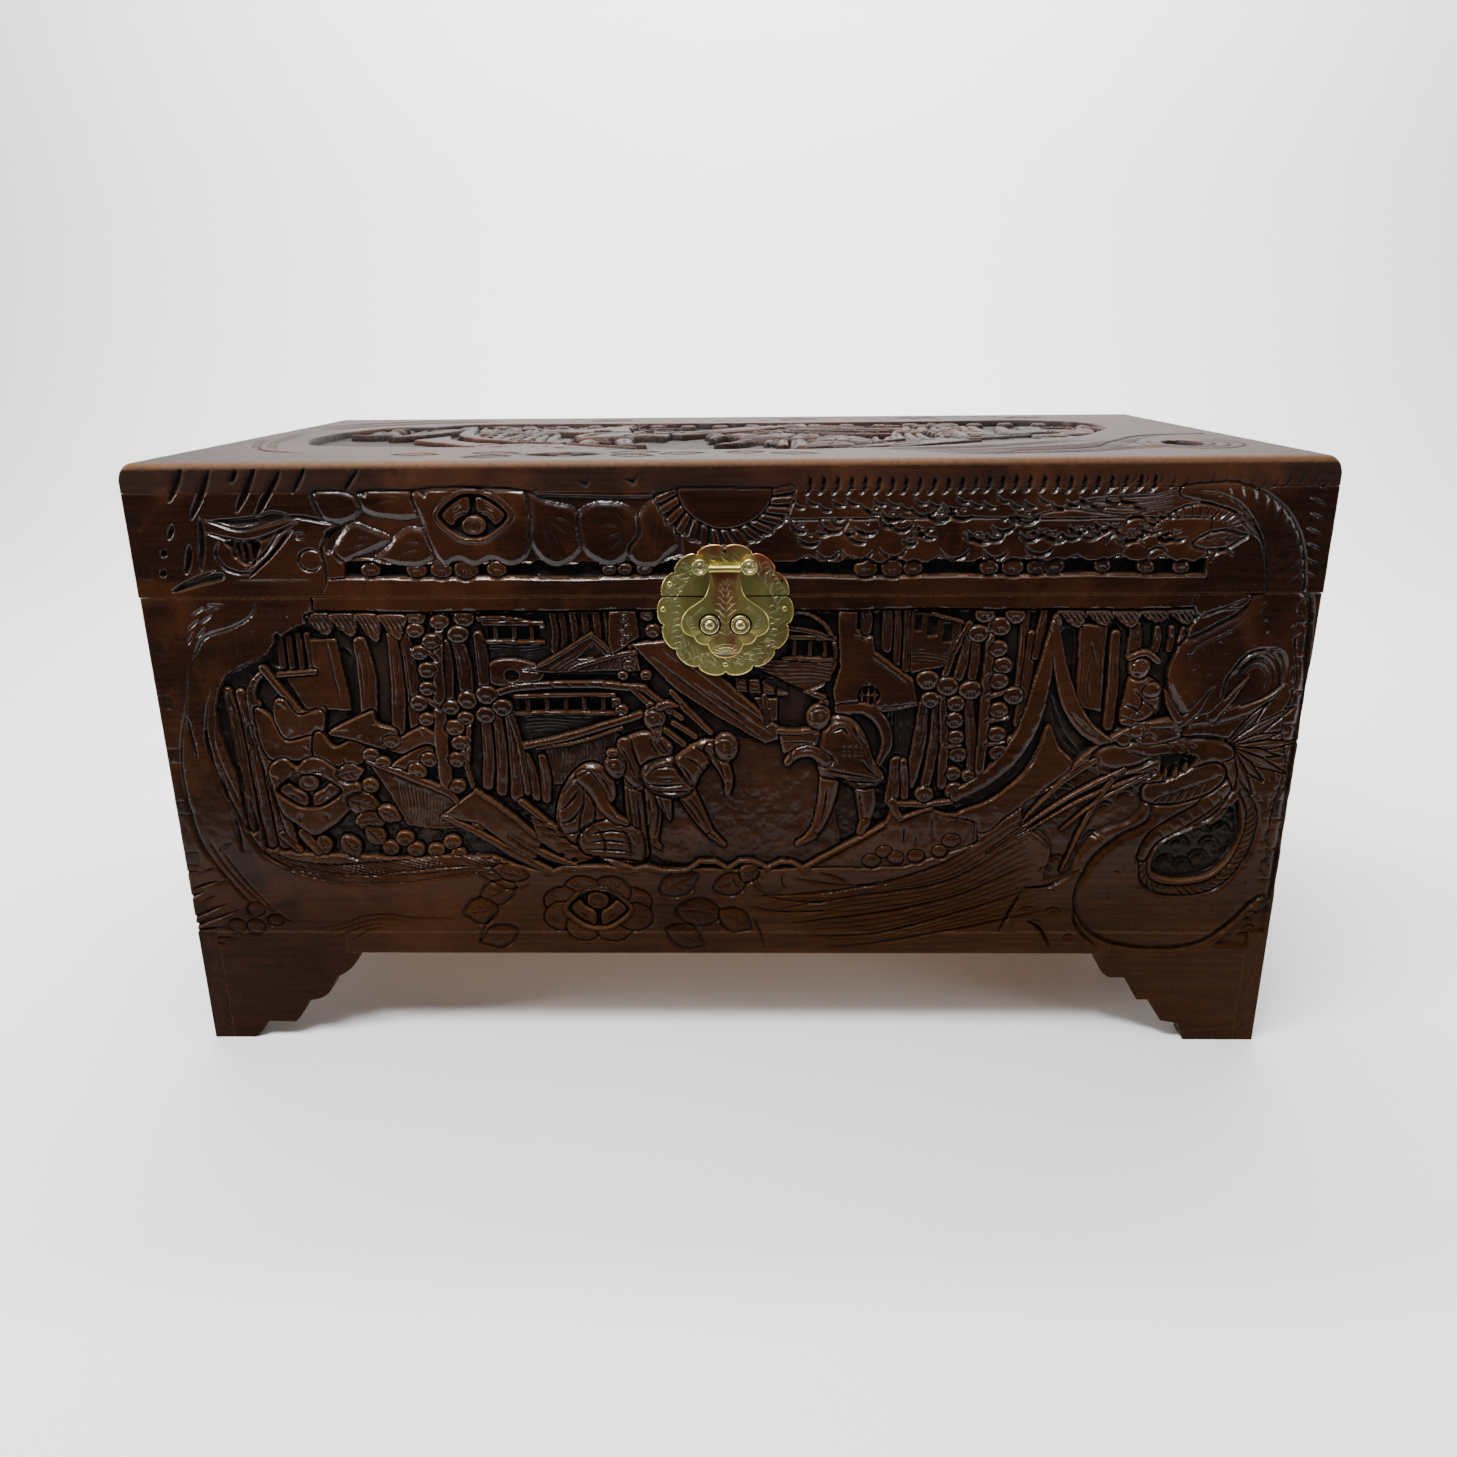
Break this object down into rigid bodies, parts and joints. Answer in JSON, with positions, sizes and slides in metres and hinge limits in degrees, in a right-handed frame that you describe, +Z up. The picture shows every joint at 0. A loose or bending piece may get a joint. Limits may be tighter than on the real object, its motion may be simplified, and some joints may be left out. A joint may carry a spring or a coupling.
{
  "type": "carved wooden chest",
  "caption": "Carved wooden storage chest on bracket feet, with a hinged lid, a round brass lock plate with a hanging hasp, and a folding lid stay.",
  "frame": {"origin": "centre of the whole object's footprint box, on the floor", "axes": "+X to the right along the length seen from the front, +Y to the back, +Z up; the lock faces -Y"},
  "size_m": [1.002, 0.5392, 0.55],
  "materials": {
    "lacquered_camphor": "hand-carved camphor wood under dark red-brown lacquer, near black in the recesses and worn pale at the edges",
    "raw_camphor": "planed, unlacquered camphor wood, pale tan",
    "lock_brass": "aged engraved brass, olive yellow with coppery red tarnish in the middle",
    "hinge_brass": "plain aged brass, satin",
    "stay_brass": "plain brass strip, satin"
  },
  "bodies": {
    "body": {"back_panel": "lacquered_camphor", "base_rail_back": "lacquered_camphor", "base_rail_front": "lacquered_camphor", "base_rail_left": "lacquered_camphor", "base_rail_right": "lacquered_camphor", "bottom_board": "raw_camphor", "foot_back_left_broad": "lacquered_camphor", "foot_back_left_return": "lacquered_camphor", "foot_back_right_broad": "lacquered_camphor", "foot_back_right_return": "lacquered_camphor", "foot_front_left_broad": "lacquered_camphor", "foot_front_left_return": "lacquered_camphor", "foot_front_right_broad": "lacquered_camphor", "foot_front_right_return": "lacquered_camphor", "front_panel": "lacquered_camphor", "glue_block_back_left": "raw_camphor", "glue_block_back_right": "raw_camphor", "glue_block_front_left": "raw_camphor", "glue_block_front_right": "raw_camphor", "hinge_left_body_leaf": "hinge_brass", "hinge_left_pin": "hinge_brass", "hinge_left_screw_lower_1": "hinge_brass", "hinge_left_screw_lower_2": "hinge_brass", "hinge_right_body_leaf": "hinge_brass", "hinge_right_pin": "hinge_brass", "hinge_right_screw_lower_1": "hinge_brass", "hinge_right_screw_lower_2": "hinge_brass", "left_side_panel": "lacquered_camphor", "lip_front": "raw_camphor", "lip_left": "raw_camphor", "lip_right": "raw_camphor", "lock_plate_lower": "lock_brass", "lock_post_lower_left": "lock_brass", "lock_post_lower_right": "lock_brass", "nail_lower_bottom": "lock_brass", "nail_lower_left": "lock_brass", "nail_lower_right": "lock_brass", "right_side_panel": "lacquered_camphor", "stay_bracket_body": "stay_brass"},
    "lid": {"hasp_pin": "lock_brass", "hinge_left_lid_leaf": "hinge_brass", "hinge_left_screw_upper_1": "hinge_brass", "hinge_left_screw_upper_2": "hinge_brass", "hinge_right_lid_leaf": "hinge_brass", "hinge_right_screw_upper_1": "hinge_brass", "hinge_right_screw_upper_2": "hinge_brass", "lid_board": "lacquered_camphor", "lid_rail_back": "lacquered_camphor", "lid_rail_front": "lacquered_camphor", "lid_rail_left": "lacquered_camphor", "lid_rail_right": "lacquered_camphor", "lock_plate_upper": "lock_brass", "lock_post_upper_left": "lock_brass", "lock_post_upper_right": "lock_brass", "nail_upper_left": "lock_brass", "stay_bracket_lid": "stay_brass"},
    "hasp": {"hasp": "lock_brass"},
    "stay_lower": {"stay_arm_lower": "stay_brass", "stay_elbow_rivet": "stay_brass"},
    "stay_upper": {"stay_arm_upper": "stay_brass"}
  },
  "joints": [
    {"name": "lid_hinge", "type": "hinge", "parent": "body", "child": "lid", "pos_m": [0, 0.2664, 0.4365], "axis": [-1, 0, 0], "range_deg": [0, 98]},
    {"name": "hasp_hinge", "type": "hinge", "parent": "lid", "child": "hasp", "pos_m": [0, -0.2642, 0.461], "axis": [-1, 0, 0], "range_deg": [0, 155]},
    {"name": "stay_lower_pivot", "type": "hinge", "parent": "body", "child": "stay_lower", "pos_m": [0.478, 0.1364, 0.3765], "axis": [-1, 0, 0], "range_deg": [0, 98]},
    {"name": "stay_upper_pivot", "type": "hinge", "parent": "lid", "child": "stay_upper", "pos_m": [0.4754, 0.1464, 0.4615], "axis": [-1, 0, 0], "range_deg": [-98, 0]}
  ],
  "couplings": [
    {"joint": "stay_lower_pivot", "follows": "lid_hinge", "ratio": 1},
    {"joint": "stay_upper_pivot", "follows": "lid_hinge", "ratio": -1}
  ]
}
